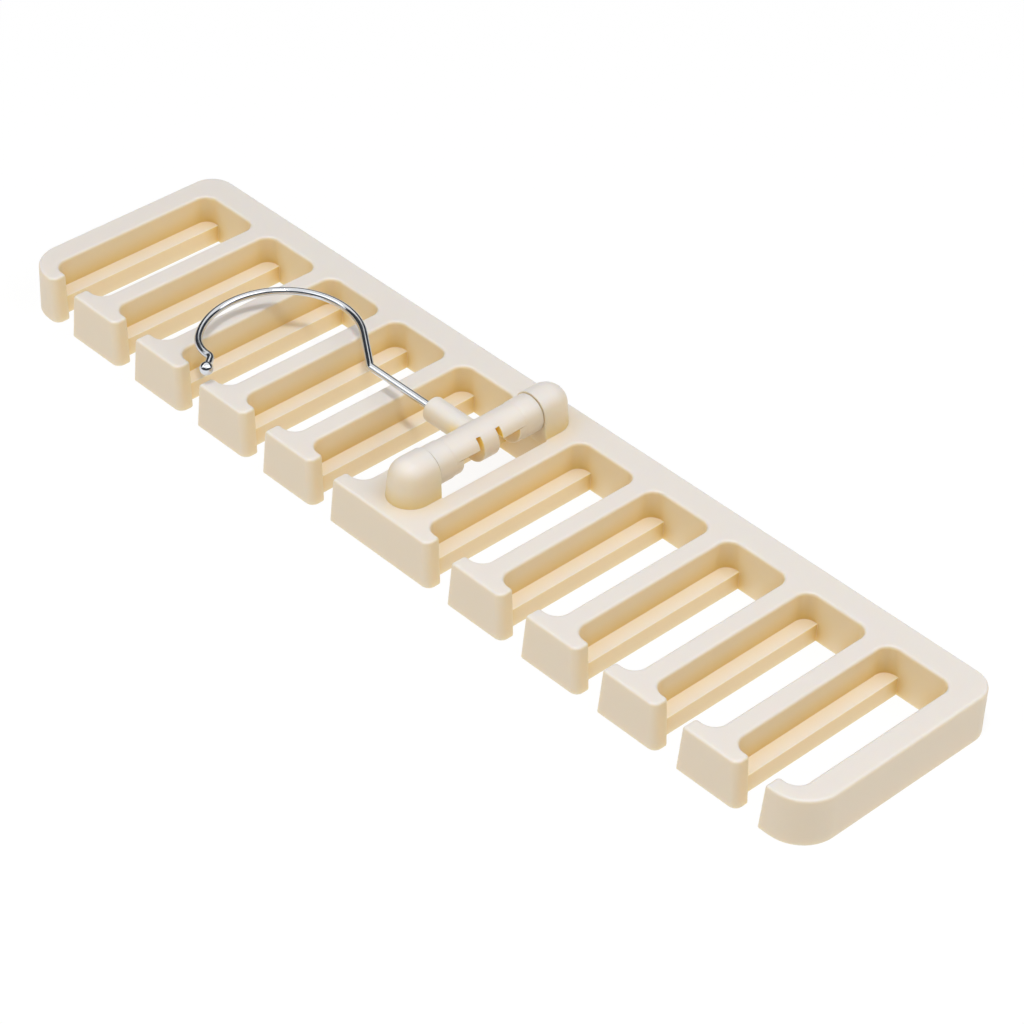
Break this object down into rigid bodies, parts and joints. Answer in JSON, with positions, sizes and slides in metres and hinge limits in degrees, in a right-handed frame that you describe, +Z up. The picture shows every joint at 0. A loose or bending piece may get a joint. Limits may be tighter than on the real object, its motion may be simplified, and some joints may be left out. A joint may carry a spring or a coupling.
{
  "type": "tie hanger",
  "caption": "Comb-shaped moulded tie hanger with open slots between T-headed tines, and a wire hook on a yoke that folds flat or stands up between two domed lugs.",
  "frame": {"origin": "under the middle of the comb, at its bottom face", "axes": "+X along the comb, away from the folded hook; +Y from the heads of the tines to the spine; +Z up"},
  "size_m": [0.33, 0.077, 0.0288],
  "materials": {
    "ivory_plastic": "satin moulded",
    "chromed_wire": "polished",
    "collar_steel": "plain turned"
  },
  "bodies": {
    "comb": {"comb_body": "ivory_plastic"},
    "yoke": {"swivel_yoke": "ivory_plastic"},
    "hook": {"hook_wire": "chromed_wire", "hook_tip_ball": "chromed_wire", "hook_collar": "collar_steel"}
  },
  "joints": [
    {"name": "hook_fold", "type": "hinge", "parent": "comb", "child": "yoke", "pos_m": [0, 0, 0.0223], "axis": [0, 1, 0], "range_deg": [0, 180]},
    {"name": "hook_swivel", "type": "hinge", "parent": "yoke", "child": "hook", "pos_m": [-0.013, 0, 0.0223], "axis": [-1, 0, 0], "range_deg": [-4, 8]}
  ]
}
